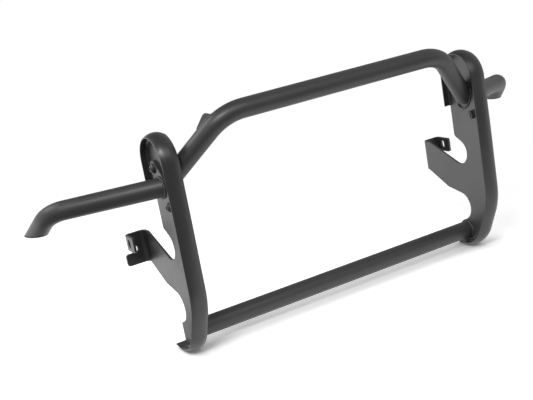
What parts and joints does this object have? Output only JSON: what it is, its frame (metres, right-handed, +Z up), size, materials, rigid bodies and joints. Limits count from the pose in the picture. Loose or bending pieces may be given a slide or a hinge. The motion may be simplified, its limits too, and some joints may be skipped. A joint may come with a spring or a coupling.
{
  "type": "front grille guard",
  "caption": "Tubular front grille guard: plate uprights with crowned edge straps, a bent top hoop, a straight crossbar, bolted side wings and bent slotted mounting feet.",
  "frame": {"origin": "bottom centre of the whole guard's box, on the plane that both straps' toes touch", "axes": "+X to the right seen from the front, -Y is the front, +Z up along the plates' rear edges"},
  "size_m": [1.1936, 0.2919, 0.4844],
  "materials": {
    "tube_coat": "satin textured black powder coat on round tube",
    "plate_coat": "matt textured black powder coat on flat plate",
    "strap_coat": "satin textured black powder coat on crowned strap",
    "weld_coat": "powder coat over rippled weld bead",
    "fastener": "black oxide, semi-gloss",
    "cap_plastic": "moulded black plastic"
  },
  "bodies": {
    "root": {"hoop_tube": "tube_coat", "crossbar_tube": "tube_coat", "upright_plate_left": "plate_coat", "upright_plate_right": "plate_coat", "edge_strap_left": "strap_coat", "edge_strap_right": "strap_coat", "strap_weld_left": "weld_coat", "strap_weld_right": "weld_coat", "hoop_lug_left": "plate_coat", "hoop_lug_right": "plate_coat", "hoop_weld_left": "weld_coat", "hoop_weld_right": "weld_coat", "crossbar_weld_left": "weld_coat", "crossbar_weld_right": "weld_coat", "wing_tube_left": "tube_coat", "wing_tube_right": "tube_coat", "wing_cap_left": "cap_plastic", "wing_cap_right": "cap_plastic", "wing_flange_left": "plate_coat", "wing_flange_right": "plate_coat", "wing_weld_left": "weld_coat", "wing_weld_right": "weld_coat", "flange_bolts_left": "fastener", "flange_bolts_right": "fastener", "head_washers_left": "fastener", "head_washers_right": "fastener", "nut_washers_left": "fastener", "nut_washers_right": "fastener", "flange_nuts_left": "fastener", "flange_nuts_right": "fastener"}
  },
  "joints": []
}
